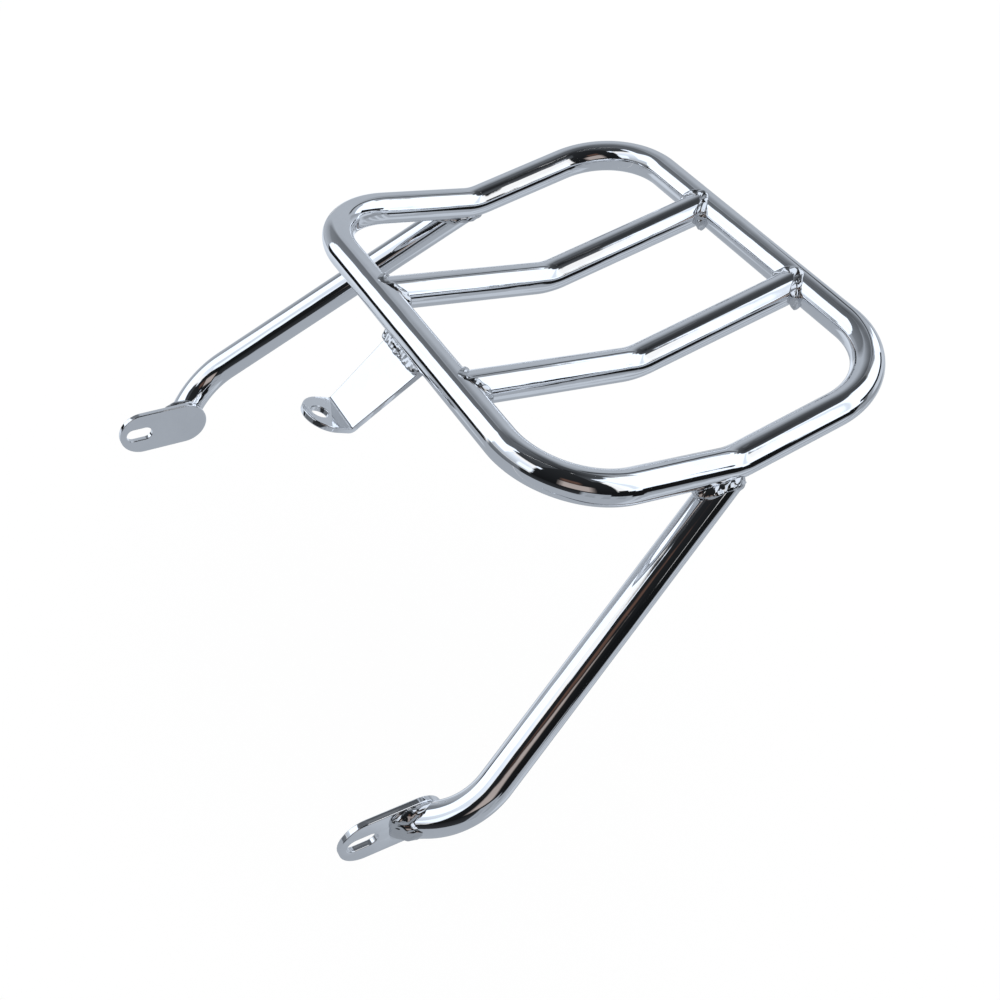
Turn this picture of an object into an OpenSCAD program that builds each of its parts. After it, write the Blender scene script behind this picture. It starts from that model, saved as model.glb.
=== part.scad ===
// Welded steel tube luggage rack for a motorcycle. All sizes are millimetres.
// The origin is on the mid plane, midway between the slots of the two tabs.
// +Y points to the tail of the motorcycle, +X to the rider's left, +Z up from the front panel.
// The modules below count from the kink line at the height of the front panel's tubes.

/* [Frame] */
// Outside diameter of every tube
tube_d = 16; // [12:0.5:22]
// Wall thickness of every tube
wall = 1.5; // [1:0.1:3]
// Width over the two side rails
rack_w = 247; // [200:1:340]
// From the kink line to the middle of the front bar
front_l = 96; // [75:1:160]
// From the kink line to the middle of the rear bar
rear_l = 98; // [75:1:160]
// Angle by which the rear panel rises from the front panel
rise = 21; // [5:0.5:35]
// Corner bend radius at the middle of the tube
corner_r = 41; // [28:1:60]
// Kink bend radius at the middle of the tube
kink_r = 36; // [24:1:70]
// Distance between the middles of the two cross bars
bar_gap = 77; // [50:1:120]

/* [Legs] */
// Top of the leg outboard of the rail's middle
leg_top_out = 1.5; // [0:0.5:4]
// Knee of a leg, corner point of its axis, outboard of the tab's inner face
knee_out = 18.5; // [12:0.5:30]
// Knee ahead of the kink line
knee_fwd = 127.5; // [90:0.5:170]
// Knee below the front panel
knee_drop = 133; // [90:0.5:180]
// Knee bend radius at the middle of the tube
knee_r = 40; // [28:1:60]

/* [Tabs] */
// Distance between the inner faces of the two tabs
tab_span = 285; // [240:1:340]
// Tab middle ahead of the kink line
tab_fwd = 154; // [130:0.5:190]
// Tab middle below the front panel
tab_drop = 148.5; // [120:0.5:200]
// Downward slope of the tab towards its slot
tab_pitch = 6.5; // [0:0.5:25]
// Tab length over its round ends
tab_l = 50; // [40:0.5:70]
// Tab width
tab_w = 26; // [20:0.5:34]
// Thickness of the tab and bracket plate
plate_t = 3; // [2:0.5:5]
// Slot width
slot_w = 8; // [6:0.5:11]
// Slot length over its round ends
slot_l = 14.5; // [11:0.5:20]
// Middle of the slot ahead of the tab's middle
slot_fwd = 14; // [8:0.5:16]

/* [Centre bracket] */
// Bracket middle beside the mid plane of the rack
bracket_x = -4; // [-10:0.5:10]
// Slope of the bracket plate below the front panel
bracket_slope = 47; // [25:1:65]
// Bracket plate length from the front bar to the fold
bracket_l = 42.5; // [30:0.5:60]
// Bracket width at the front bar
bracket_top_w = 31.5; // [26:0.5:40]
// Bracket width at the fold and along the tongue
tongue_w = 24.5; // [20:0.5:30]
// Upward slope of the tongue
tongue_rise = 14; // [0:1:30]
// Tongue length from the fold to its round end
tongue_l = 19; // [17:0.5:30]
// Middle of the hole from the fold
hole_from_fold = 11; // [9:0.5:16]
// Hole diameter
hole_d = 8.5; // [6:0.5:11]

/* [Weld beads] */
// How far a bead spreads over the tubes it joins
bead = 2.2; // [1.5:0.1:3]

/* [Hidden] */
$fn = 96;
tube_r = tube_d / 2;
bore_r = tube_r - wall;
rail_x = rack_w / 2 - tube_r;
bar_x = bar_gap / 2;
bead_r = tube_r + bead;
front_y = -front_l;
rear_end = [0, rear_l * cos(rise), rear_l * sin(rise)];
fold_in_r = 1.5;

// A bend laps into the straight tube at each end by this angle, and is drawn in by this much
lap = 0.5;
draw_in = 0.1;

// Points of the left to right loop of the perimeter tube, front panel first
hoop_points = [
    [-rail_x, front_y, 0],
    [-rail_x, 0, 0],
    [-rail_x, rear_end[1], rear_end[2]],
    [rail_x, rear_end[1], rear_end[2]],
    [rail_x, 0, 0],
    [rail_x, front_y, 0]
];
hoop_radii = [corner_r, kink_r, corner_r, corner_r, kink_r, corner_r];

// Leg on the +X side, from inside the rail to the outer face of the tab and past it
tab_mid = [tab_span / 2, -tab_fwd, -tab_drop];
tab_u = [0, -cos(tab_pitch), -sin(tab_pitch)];
tab_v = [0, -sin(tab_pitch), cos(tab_pitch)];
leg_top = [rail_x + leg_top_out, leg_top_out, 0];
leg_knee = [tab_span / 2 + knee_out, -knee_fwd, -knee_drop];
leg_foot = tab_mid + [plate_t, 0, 0] - 11 * tab_u + tab_v;
foot_dir = unit(leg_foot - leg_knee);
leg_stub = 14;
leg_end = leg_foot + leg_stub * foot_dir;
slot_mid = tab_mid + slot_fwd * tab_u;

// Groove between the front bar and the bracket's upper face, seen along the bar
anchor_z = -tube_r + 0.5;
plate_d = [-cos(bracket_slope), -sin(bracket_slope)];
plate_n = [-sin(bracket_slope), cos(bracket_slope)];
face_off = [-1, anchor_z] * plate_n;
groove = face_off * plate_n + sqrt(tube_r * tube_r - face_off * face_off) * plate_d;
groove_mid = [front_y, 0] + groove + 2.5 * unit(plate_d + [groove[1], -groove[0]] / tube_r);

function unit(v) = v / norm(v);
function turn(a, b, c) = acos(unit(b - a) * unit(c - b));
function setback(a, b, c, r) = r * tan(turn(a, b, c) / 2);

// Round bar between two points
module run(a, b, r) {
    v = b - a;
    translate(a)
    rotate([0, acos(v[2] / norm(v)), atan2(v[1], v[0])])
    cylinder(h = norm(v), r = r);
}

// Round bar bent from the line a-b into the line b-c
module bend(a, b, c, bend_r, r) {
    u = unit(b - a);
    w = unit(c - b);
    n = unit(w - (w * u) * u);
    z = cross(u, n);
    o = b - setback(a, b, c, bend_r) * u + bend_r * n;
    multmatrix([[-n[0], u[0], z[0], o[0]],
                [-n[1], u[1], z[1], o[1]],
                [-n[2], u[2], z[2], o[2]],
                [0, 0, 0, 1]])
    rotate([0, 0, -lap])
    rotate_extrude(angle = turn(a, b, c) + 2 * lap)
    translate([bend_r, 0])
    circle(r = r - draw_in);
}

// Closed round bar through all the points
module ring(points, radii, r) {
    count = len(points);
    for (i = [0 : count - 1]) {
        a = points[(i + count - 1) % count];
        b = points[i];
        c = points[(i + 1) % count];
        d = points[(i + 2) % count];
        u = unit(c - b);
        bend(a, b, c, radii[i], r);
        run(b + u * setback(a, b, c, radii[i]), c - u * setback(b, c, d, radii[(i + 1) % count]), r);
    }
}

// Open round bar with one bend
module bent_bar(a, b, c, bend_r, r) {
    s = setback(a, b, c, bend_r);
    run(a, b - s * unit(b - a), r);
    bend(a, b, c, bend_r, r);
    run(b + s * unit(c - b), c, r);
}

// One side rail as far as its corners, for cutting and for the beads
module rail(r) {
    bent_bar([rail_x, front_y + corner_r, 0], [rail_x, 0, 0],
             [rail_x, rear_end[1] - corner_r * cos(rise), rear_end[2] - corner_r * sin(rise)], kink_r, r);
}

module front_bar(r) {
    run([-rail_x + corner_r, front_y, 0], [rail_x - corner_r, front_y, 0], r);
}

module hoop() {
    color("silver")
    difference() {
        ring(hoop_points, hoop_radii, tube_r);
        ring(hoop_points, hoop_radii, bore_r);
    }
}

// Cross bar along one panel, from the kink to the end bar's middle, dir -1 for the front
module bar_straight(side, dir, l, r) {
    s = kink_r * tan(rise / 2);
    translate([side * bar_x, dir * s, 0])
    rotate([-dir * 90, 0, 0])
    cylinder(h = l - s, r = r);
}

// End bar of a panel in that panel's own frame
module end_bar(dir, l, half, r) {
    translate([-half, dir * l, 0])
    rotate([0, 90, 0])
    cylinder(h = 2 * half, r = r);
}

module bar_kink(side, r) {
    bend([side * bar_x, front_y, 0], [side * bar_x, 0, 0],
         [side * bar_x, rear_end[1], rear_end[2]], kink_r, r);
}

module crossbar(side) {
    color("silver")
    difference() {
        union() {
            difference() {
                bar_straight(side, -1, front_l, tube_r);
                end_bar(-1, front_l, rail_x - corner_r, tube_r);
            }
            bar_kink(side, tube_r);
            rotate([rise, 0, 0])
            difference() {
                bar_straight(side, 1, rear_l, tube_r);
                end_bar(1, rear_l, rail_x - corner_r, tube_r);
            }
        }
        bar_straight(side, -1, front_l, bore_r);
        bar_kink(side, bore_r);
        rotate([rise, 0, 0])
        bar_straight(side, 1, rear_l, bore_r);
    }
}

module leg_core(r) {
    bent_bar(leg_top, leg_knee, leg_end, knee_r, r);
}

// Room on the inner side of a tab's outer face, as wide as the cut leg end needs
module inboard(depth) {
    wide = leg_stub + 4 * tube_d;
    translate([leg_foot[0] - depth, leg_foot[1] - wide, leg_foot[2] - wide])
    cube([depth, 2 * wide, 2 * wide]);
}

module leg() {
    s = setback(leg_top, leg_knee, leg_end, knee_r);
    color("silver")
    difference() {
        union() {
            run(leg_top, leg_knee - s * unit(leg_knee - leg_top), tube_r);
            difference() {
                union() {
                    bend(leg_top, leg_knee, leg_end, knee_r, tube_r);
                    run(leg_knee + s * foot_dir, leg_end, tube_r);
                }
                inboard(leg_stub + 2 * tube_d);
            }
        }
        leg_core(bore_r);
        rail(tube_r);
    }
}

module obround(l, w) {
    square([l - w, w], center = true);
    translate([(l - w) / 2, 0])
    circle(d = w);
    translate([(w - l) / 2, 0])
    circle(d = w);
}

module tab() {
    color("silver")
    translate(tab_mid)
    multmatrix([[0, 0, 1, 0],
                [tab_u[1], tab_v[1], 0, 0],
                [tab_u[2], tab_v[2], 0, 0],
                [0, 0, 0, 1]])
    linear_extrude(height = plate_t)
    difference() {
        obround(tab_l, tab_w);
        translate([slot_fwd, 0])
        obround(slot_l, slot_w);
    }
}

// Section of the folded strip: plate towards +x, tongue towards -x, upper face of the plate on y = 0
function strip_section(l, t, inset, r, angle, steps) = concat(
    [[l, 0], [inset, 0]],
    [for (i = [1 : steps]) [inset - r * sin(angle * i / steps), r - r * cos(angle * i / steps)]],
    [[-cos(angle) * tongue_l * 1.3, sin(angle) * tongue_l * 1.3]],
    [[-cos(angle) * tongue_l * 1.3 - t * sin(angle), sin(angle) * tongue_l * 1.3 - t * cos(angle)]],
    [for (i = [steps : -1 : 0])
        [inset - (r + t) * sin(angle * i / steps), r - (r + t) * cos(angle * i / steps)]],
    [[l, -t]]
);

// Bracket laid out from the fold, in the frame of its plate
module bracket_body() {
    fold_angle = bracket_slope + tongue_rise;
    inset = fold_in_r * tan(fold_angle / 2);
    translate([bracket_x, front_y - 1, anchor_z])
    rotate([bracket_slope, 0, 0])
    translate([0, -bracket_l, 0])
    difference() {
        intersection() {
            translate([-bracket_top_w, 0, 0])
            rotate([90, 0, 90])
            linear_extrude(height = 2 * bracket_top_w)
            polygon(strip_section(bracket_l, plate_t, inset, fold_in_r, fold_angle, 8));
            union() {
                translate([0, 0, -12])
                linear_extrude(height = 16)
                polygon([[-tongue_w / 2, -8], [tongue_w / 2, -8], [tongue_w / 2, inset + 1],
                         [bracket_top_w / 2, bracket_l + 1], [-bracket_top_w / 2, bracket_l + 1],
                         [-tongue_w / 2, inset + 1]]);
                rotate([-fold_angle, 0, 0])
                translate([0, 0, -12])
                linear_extrude(height = 16)
                union() {
                    translate([-tongue_w / 2, -tongue_l + tongue_w / 2])
                    square([tongue_w, tongue_l - tongue_w / 2 + 4]);
                    translate([0, -tongue_l + tongue_w / 2])
                    circle(d = tongue_w);
                }
            }
        }
        rotate([-fold_angle, 0, 0])
        translate([0, -hole_from_fold, -12])
        cylinder(h = 16, d = hole_d);
    }
}

module centre_bracket() {
    color("silver")
    difference() {
        bracket_body();
        front_bar(tube_r);
    }
}

// Bead round the end of a cross bar, spread over both tubes, in the frame of its panel
module bead_bar(side, dir, l) {
    difference() {
        difference() {
            intersection() {
                translate([side * bar_x, dir * l, 0])
                rotate([dir * 90, 0, 0])
                cylinder(h = 14, r = bead_r);
                translate([side * bar_x - 14, dir * l, 0])
                rotate([0, 90, 0])
                cylinder(h = 28, r = bead_r);
            }
            end_bar(dir, l, rail_x - corner_r, tube_r);
        }
        bar_straight(side, dir, l, tube_r);
    }
}

module bead_bar_front(side) {
    color("silver")
    bead_bar(side, -1, front_l);
}

module bead_bar_rear(side) {
    color("silver")
    rotate([rise, 0, 0])
    bead_bar(side, 1, rear_l);
}

module bead_leg() {
    color("silver")
    difference() {
        intersection() {
            run(leg_top, leg_top + 30 * unit(leg_knee - leg_top), bead_r);
            rail(bead_r);
        }
        rail(tube_r);
        leg_core(tube_r);
    }
}

module bead_tab() {
    deep = bead + 0.6;
    color("silver")
    difference() {
        intersection() {
            run(leg_foot - (leg_stub + 6) * foot_dir, leg_end, bead_r);
            translate([deep, 0, 0])
            inboard(deep);
        }
        leg_core(tube_r);
    }
}

module bead_bracket() {
    color("silver")
    difference() {
        run([bracket_x - bracket_top_w / 2 - 1.75, groove_mid[0], groove_mid[1]],
            [bracket_x + bracket_top_w / 2 + 1.75, groove_mid[0], groove_mid[1]], 3.2);
        front_bar(tube_r);
        translate([bracket_x - bracket_top_w, front_y - 1, anchor_z])
        rotate([bracket_slope, 0, 0])
        translate([0, -bracket_l, -bracket_l])
        cube([2 * bracket_top_w, 2 * bracket_l, bracket_l]);
    }
}

// Moves the origin to the middle between the slots
module placed() {
    translate([0, -slot_mid[1], -slot_mid[2]])
    children();
}

placed() hoop();
placed() crossbar(1);  // crossbar_left
placed() crossbar(-1);  // crossbar_right
placed() leg();  // leg_left
mirror([1, 0, 0]) placed() leg();  // leg_right
placed() tab();  // tab_left
mirror([1, 0, 0]) placed() tab();  // tab_right
placed() centre_bracket();
placed() bead_bar_front(1);  // bead_bar_front_left
placed() bead_bar_front(-1);  // bead_bar_front_right
placed() bead_bar_rear(1);  // bead_bar_rear_left
placed() bead_bar_rear(-1);  // bead_bar_rear_right
placed() bead_leg();  // bead_leg_left
mirror([1, 0, 0]) placed() bead_leg();  // bead_leg_right
placed() bead_tab();  // bead_tab_left
mirror([1, 0, 0]) placed() bead_tab();  // bead_tab_right
placed() bead_bracket();
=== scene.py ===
# %% [markdown]
# # A chromed luggage rack
# The rack is one frame of bent steel tube. Its parts are welded together, polished, and then chrome
# plated as a whole, so one bright metal skin runs over tube, plate and weld alike.
# The CAD frame holds every part exact, but a little too perfect to look real. This lesson draws
# each part again inside its CAD skin, with the marks of bending, buffing and welding, then gives
# it the finish of the plating and a studio to mirror.

# %% Load the frame
import bmesh
import bpy
import math
from mathutils import Matrix, Vector, noise


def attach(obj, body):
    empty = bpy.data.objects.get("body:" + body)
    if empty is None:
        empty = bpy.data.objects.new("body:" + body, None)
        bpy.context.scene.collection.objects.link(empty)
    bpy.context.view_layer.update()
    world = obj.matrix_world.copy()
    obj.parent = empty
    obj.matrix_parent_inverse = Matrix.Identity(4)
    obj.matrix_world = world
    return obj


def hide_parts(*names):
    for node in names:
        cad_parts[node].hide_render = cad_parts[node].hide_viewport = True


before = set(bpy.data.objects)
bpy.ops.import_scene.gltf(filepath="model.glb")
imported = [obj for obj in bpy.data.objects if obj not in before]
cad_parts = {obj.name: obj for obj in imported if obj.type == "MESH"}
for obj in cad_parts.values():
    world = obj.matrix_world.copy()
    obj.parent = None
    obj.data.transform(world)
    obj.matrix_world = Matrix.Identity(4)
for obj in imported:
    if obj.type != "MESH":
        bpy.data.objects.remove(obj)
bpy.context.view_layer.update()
print("CAD nodes:", len(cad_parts))

# %% [markdown]
# ## Sizes that the welds need
# A bead lies where two surfaces meet, so it needs those surfaces again: tube axes, the kink of the
# side rails, the plates. Every length here is in millimetres and measured from the kink line of
# the rack, and `to_frame` takes a point from there to the metres of the CAD frame.
# Reading the points from the CAD meshes would also work, but a few plain numbers are easier to
# follow.

# %% Sizes of the tubes
MM = 0.001

# The hoop: outer radius of the tube, side rails from the mid plane, front and rear bar from the
# kink line, rise of the rear panel, and bend radius of the kink.
TUBE_R = 8.0
RAIL_X = 115.5
FRONT_L = 96.0
REAR_L = 98.0
RISE = math.radians(21)
KINK_R = 36.0

# The tabs: middle of the inner face, thickness, pitch, and directions along and across the plate.
TAB_MID = Vector((142.5, -154.0, -148.5))
PLATE_T = 3.0
PITCH = math.radians(6.5)
TAB_U = Vector((0, -math.cos(PITCH), -math.sin(PITCH)))
TAB_V = Vector((0, -math.sin(PITCH), math.cos(PITCH)))

# The legs: top on the rail, knee, and foot on the outer face of the tab, behind its middle.
LEG_TOP = Vector((117.0, 1.5, 0.0))
LEG_KNEE = Vector((161.0, -127.5, -133.0))
FOOT_BACK = 11
LEG_FOOT = TAB_MID + Vector((PLATE_T, 0, 0)) - FOOT_BACK * TAB_U + TAB_V

# The frame's origin lies midway between the two slots, which are this far forward in the tabs.
SLOT_FWD = 14.0
SHIFT = -(TAB_MID + SLOT_FWD * TAB_U)
SHIFT.x = 0.0


def to_frame(p, side=1):
    """A point from the kink line's millimetres to the frame's metres, mirrored for side -1."""
    q = (p + SHIFT) * MM
    return Vector((q.x * side, q.y, q.z))


print("shift to the frame in mm:", [round(c, 3) for c in SHIFT])

# %% [markdown]
# ## The camera
# The photograph is a three-quarter view from the front left, from above, with the camera leaning a
# little to one side. Place, direction and focal length were fitted to the outlines of the tubes.
# Rows of the matrix are the camera's right, up and backward directions.

# %% Camera
SENSOR_MM, FOCAL_PX, IMAGE_PX = 36, 1235.56, 1000
CLIP_START = 0.01
eye = Vector((0.391503, -0.198844, 0.448608))
right = Vector((0.501154, 0.835446, 0.225553))
up = Vector((-0.634454, 0.177478, 0.752309))
back = Vector((0.588483, -0.520126, 0.618996))

camera_data = bpy.data.cameras.new("camera")
camera_data.sensor_width = SENSOR_MM
camera_data.lens = SENSOR_MM * FOCAL_PX / IMAGE_PX
camera_data.clip_start = CLIP_START
camera = bpy.data.objects.new("camera", camera_data)
bpy.context.scene.collection.objects.link(camera)
camera.matrix_world = Matrix((
    (right.x, up.x, back.x, eye.x),
    (right.y, up.y, back.y, eye.y),
    (right.z, up.z, back.z, eye.z),
    (0, 0, 0, 1),
))
bpy.context.scene.camera = camera
print("camera lens in mm:", round(camera_data.lens, 2))

# %% [markdown]
# ## Plating, as a node group
# Chrome copies the surface under it. The tube was drawn, bent and polished, so the mirror is not
# perfect: it waves a little over a centimetre, has an orange peel of about a millimetre, and a few
# pinholes. One group gives all three as a height, and each material sets its own amounts.
# A modelled mesh could carry the waves too, but they are microns deep, so a bump is the right
# size.

# %% Group: plating height
WAVE_SCALE, PEEL_SCALE, PINHOLE_SCALE = 70, 900, 420
PINHOLE_SIZE = 0.07
FLOAT, COLOUR = "NodeSocketFloat", "NodeSocketColor"


def new_group(name, inputs, outputs):
    """An empty shader group with float or colour sockets, its input node and its output node."""
    group = bpy.data.node_groups.new(name, "ShaderNodeTree")
    for label, kind, default in inputs:
        socket = group.interface.new_socket(name=label, in_out="INPUT", socket_type=kind)
        socket.default_value = default
    for label, kind in outputs:
        group.interface.new_socket(name=label, in_out="OUTPUT", socket_type=kind)
    return group, group.nodes.new("NodeGroupInput"), group.nodes.new("NodeGroupOutput")


def math_node(tree, operation, a, b, clamp=False):
    """The result of a math node whose two inputs are numbers or sockets."""
    n = tree.nodes.new("ShaderNodeMath")
    n.operation = operation
    n.use_clamp = clamp
    for i, value in enumerate((a, b)):
        if isinstance(value, (int, float)):
            n.inputs[i].default_value = value
        else:
            tree.links.new(value, n.inputs[i])
    return n.outputs[0]


def noise_node(tree, vector, scale, detail, roughness=0.5):
    """The value of a noise texture whose cells are 1/scale metres wide."""
    n = tree.nodes.new("ShaderNodeTexNoise")
    n.inputs["Scale"].default_value = scale
    n.inputs["Detail"].default_value = detail
    n.inputs["Roughness"].default_value = roughness
    tree.links.new(vector, n.inputs["Vector"])
    return n.outputs[0]


plating, g_in, g_out = new_group(
    "Plating height",
    [("Waves", FLOAT, 1.0), ("Peel", FLOAT, 0.3), ("Pinholes", FLOAT, 0.3)],
    [("Height", FLOAT)],
)
place = plating.nodes.new("ShaderNodeTexCoord").outputs["Object"]
waves = noise_node(plating, place, WAVE_SCALE, detail=1)
waves = math_node(plating, "MULTIPLY", waves, g_in.outputs["Waves"])
peel = noise_node(plating, place, PEEL_SCALE, detail=2)
peel = math_node(plating, "MULTIPLY", peel, g_in.outputs["Peel"])
cells = plating.nodes.new("ShaderNodeTexVoronoi")
cells.inputs["Scale"].default_value = PINHOLE_SCALE
plating.links.new(place, cells.inputs["Vector"])
hole = math_node(plating, "LESS_THAN", cells.outputs["Distance"], PINHOLE_SIZE)
hole = math_node(plating, "MULTIPLY", hole, g_in.outputs["Pinholes"])
height = math_node(plating, "SUBTRACT", math_node(plating, "ADD", waves, peel), hole)
plating.links.new(height, g_out.inputs["Height"])
print("group:", plating.name)

# %% [markdown]
# ## Haze, as a node group
# Plating is never equally bright all over. Handling leaves faint cloudy marks, and small specks of
# polishing compound stay in the surface. Both only spread the reflection a little, so the group
# gives a mask that the materials turn into roughness, and a tint between bright and slightly smoky
# metal. A painted mask could place each mark by hand, but noise covers every part at once.

# %% Group: haze
CLOUD_SCALE, CLOUD_SHARE = 24, 0.75
SPECK_SCALE, SPECK_SHARE = 260, 0.25
HAZE_FROM, HAZE_TO = 0.42, 0.68
MIX_FACTOR, MIX_A, MIX_B, MIX_RESULT = 0, 6, 7, 2  # the colour sockets of a Mix node
BRIGHT, SMOKY = (0.94, 0.95, 0.97, 1), (0.84, 0.85, 0.87, 1)

haze, h_in, h_out = new_group(
    "Plating haze",
    [("Amount", FLOAT, 0.5), ("Bright", COLOUR, BRIGHT), ("Smoky", COLOUR, SMOKY)],
    [("Mask", FLOAT), ("Tint", COLOUR)],
)
place = haze.nodes.new("ShaderNodeTexCoord").outputs["Object"]
cloud = noise_node(haze, place, CLOUD_SCALE, detail=5, roughness=0.6)
cloud = math_node(haze, "MULTIPLY", cloud, CLOUD_SHARE)
speck = noise_node(haze, place, SPECK_SCALE, detail=3, roughness=0.7)
speck = math_node(haze, "MULTIPLY", speck, SPECK_SHARE)
mask = math_node(haze, "ADD", cloud, speck)
spread = haze.nodes.new("ShaderNodeMapRange")
spread.inputs["From Min"].default_value = HAZE_FROM
spread.inputs["From Max"].default_value = HAZE_TO
haze.links.new(mask, spread.inputs["Value"])
mask = math_node(haze, "MULTIPLY", spread.outputs[0], h_in.outputs["Amount"], clamp=True)
tint = haze.nodes.new("ShaderNodeMix")
tint.data_type = "RGBA"
haze.links.new(mask, tint.inputs[MIX_FACTOR])
haze.links.new(h_in.outputs["Bright"], tint.inputs[MIX_A])
haze.links.new(h_in.outputs["Smoky"], tint.inputs[MIX_B])
haze.links.new(mask, h_out.inputs["Mask"])
haze.links.new(tint.outputs[MIX_RESULT], h_out.inputs["Tint"])
print("group:", haze.name)

# %% [markdown]
# ## Two chromes
# The plating is one finish, but the welds under it are never polished as well as the tubes, so they
# are rougher, have more pinholes and look darker. One function makes both materials from the two
# groups, with values of their own. A second plating for the welds would be wrong: it is one bath.
# A metal with low roughness is all that it takes, because chrome has no clear coat over it.

# %% Chrome materials
def chrome(name, waves, peel, pinholes, haze_amount, rough_low, rough_high, depth, tone=1.0):
    """Chrome plate: height, haze and roughness from the two groups, dimmed by a tone below 1."""
    material = bpy.data.materials.new(name)
    material.use_nodes = True
    tree = material.node_tree
    shader = tree.nodes["Principled BSDF"]
    shader.inputs["Metallic"].default_value = 1.0
    relief = tree.nodes.new("ShaderNodeGroup")
    relief.node_tree = plating
    for socket, value in (("Waves", waves), ("Peel", peel), ("Pinholes", pinholes)):
        relief.inputs[socket].default_value = value
    veil = tree.nodes.new("ShaderNodeGroup")
    veil.node_tree = haze
    veil.inputs["Amount"].default_value = haze_amount
    for socket in ("Bright", "Smoky"):
        red, green, blue, opaque = veil.inputs[socket].default_value
        veil.inputs[socket].default_value = (tone * red, tone * green, tone * blue, opaque)
    tree.links.new(veil.outputs["Tint"], shader.inputs["Base Color"])
    spread = tree.nodes.new("ShaderNodeMapRange")
    spread.inputs["To Min"].default_value = rough_low
    spread.inputs["To Max"].default_value = rough_high
    tree.links.new(veil.outputs["Mask"], spread.inputs["Value"])
    tree.links.new(spread.outputs[0], shader.inputs["Roughness"])
    bump = tree.nodes.new("ShaderNodeBump")
    bump.inputs["Strength"].default_value = 1.0
    bump.inputs["Distance"].default_value = depth
    tree.links.new(relief.outputs["Height"], bump.inputs["Height"])
    tree.links.new(bump.outputs["Normal"], shader.inputs["Normal"])
    return material


tube_chrome = chrome(
    "Chrome on tube", waves=1.0, peel=0.03, pinholes=0.02,
    haze_amount=0.5, rough_low=0.03, rough_high=0.08, depth=0.00012,
)
weld_chrome = chrome(
    "Chrome on weld", waves=1.0, peel=0.14, pinholes=0.12,
    haze_amount=0.7, rough_low=0.03, rough_high=0.12, depth=0.00014, tone=0.74,
)
FINISHES = {"chrome": tube_chrome, "chrome_weld": weld_chrome}
for node_name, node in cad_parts.items():
    for material_slot in node.material_slots:
        kind = "chrome_weld" if node_name.startswith("bead") else "chrome"
        material_slot.material = FINISHES[kind]
print("materials:", tube_chrome.name, "and", weld_chrome.name)

# %% [markdown]
# ## Tubes, bent as a real tube bends
# The CAD tubes are exact, but a mandrel leaves marks on the real ones: a bend is a little flat
# across, and the short kinks are pinched on their inner side, which makes the reflections swing
# there.
# So each tube is swept again along its own axis: rings of points, close together in the bends. A
# curve with a round bevel would be quicker, but it can't be pinched. Each tube stays within the
# CAD tube's skin.

# %% Path of a bent tube
BEND_STEP = 1.1


def bent_path(corners, radii, closed=False, step=2.2):
    """Points, directions, inward sides and bend shares along a line with rounded corners."""
    count = len(corners)
    arcs = []
    for i in (range(count) if closed else range(1, count - 1)):
        a, b, c = corners[i - 1], corners[i], corners[(i + 1) % count]
        u, w = (b - a).normalized(), (c - b).normalized()
        angle = u.angle(w)
        cut = radii[i] * math.tan(angle / 2)
        inward = (w - w.dot(u) * u).normalized()
        arcs.append((b - cut * u, b + cut * w, u, inward, radii[i], angle))
    path = []
    here = arcs[-1][1] if closed else corners[0]
    for start, end, u, inward, radius, angle in arcs:
        parts = max(2, round((start - here).length / step))
        for k in range(parts):
            path.append((here.lerp(start, k / parts), u, inward, 0.0, radius))
        parts = max(6, round(radius * angle / BEND_STEP))
        for k in range(parts):
            turn = angle * k / parts
            centre = start + radius * inward
            side = math.cos(turn) * inward - math.sin(turn) * u
            along = math.cos(turn) * u + math.sin(turn) * inward
            share = math.sin(math.pi * k / parts)
            path.append((centre - radius * side, along, side, share, radius))
        here = end
    if not closed:
        parts = max(2, round((corners[-1] - here).length / step))
        u = (corners[-1] - here).normalized()
        for k in range(parts + 1):
            path.append((here.lerp(corners[-1], k / parts), u, arcs[-1][3], 0.0, 0.0))
    return path


test = bent_path([Vector((0, 0, 0)), Vector((90, 0, 0)), Vector((90, 90, 0))], [0, 40, 0])
print("points on a test path:", len(test))


# %% Sweep of a bent tube
FLAT_DEPTH = 0.12
PINCH_DEPTH = 0.10
PINCH_BELOW_R = 38


def sweep(path, closed=False, around=56):
    """Rings of points along a path, flattened in the bends and pinched on the inside of a kink."""
    rings = []
    side = path[0][2]
    for point, along, inward, share, radius in path:
        side = (side - side.dot(along) * along).normalized()
        other = along.cross(side)
        kink = share if radius and radius < PINCH_BELOW_R else 0.0
        ring = []
        for k in range(around):
            phi = 2 * math.pi * k / around
            e = math.cos(phi) * side + math.sin(phi) * other
            inner = e.dot(inward) if share else 0.0
            flat = FLAT_DEPTH * share * inner * inner
            pinch = PINCH_DEPTH * kink ** 2 * max(0.0, inner) ** 3
            ring.append(point + (TUBE_R - flat - pinch) * e)
        rings.append(ring)
    if closed:
        start = rings[0][0] - path[0][0]
        end = side - side.dot(path[0][1]) * path[0][1]
        twist = math.atan2(path[0][1].dot(end.cross(start)), end.dot(start))
        for i, (ring, step) in enumerate(zip(rings, path)):
            turn = Matrix.Rotation(twist * i / len(rings), 3, step[1])
            rings[i] = [step[0] + turn @ (p - step[0]) for p in ring]
    return rings


def tube_mesh(name, replaced, rings, closed=False, side=1):
    """A smooth tube piece from its rings, mirrored for side -1."""
    count, around = len(rings), len(rings[0])
    points = [to_frame(p, side) for ring in rings for p in ring]
    faces = []
    for i in range(count if closed else count - 1):
        n = (i + 1) % count
        for k in range(around):
            m = (k + 1) % around
            faces.append((i * around + k, i * around + m, n * around + m, n * around + k))
    return mesh_object(name, replaced, points, faces)


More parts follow.
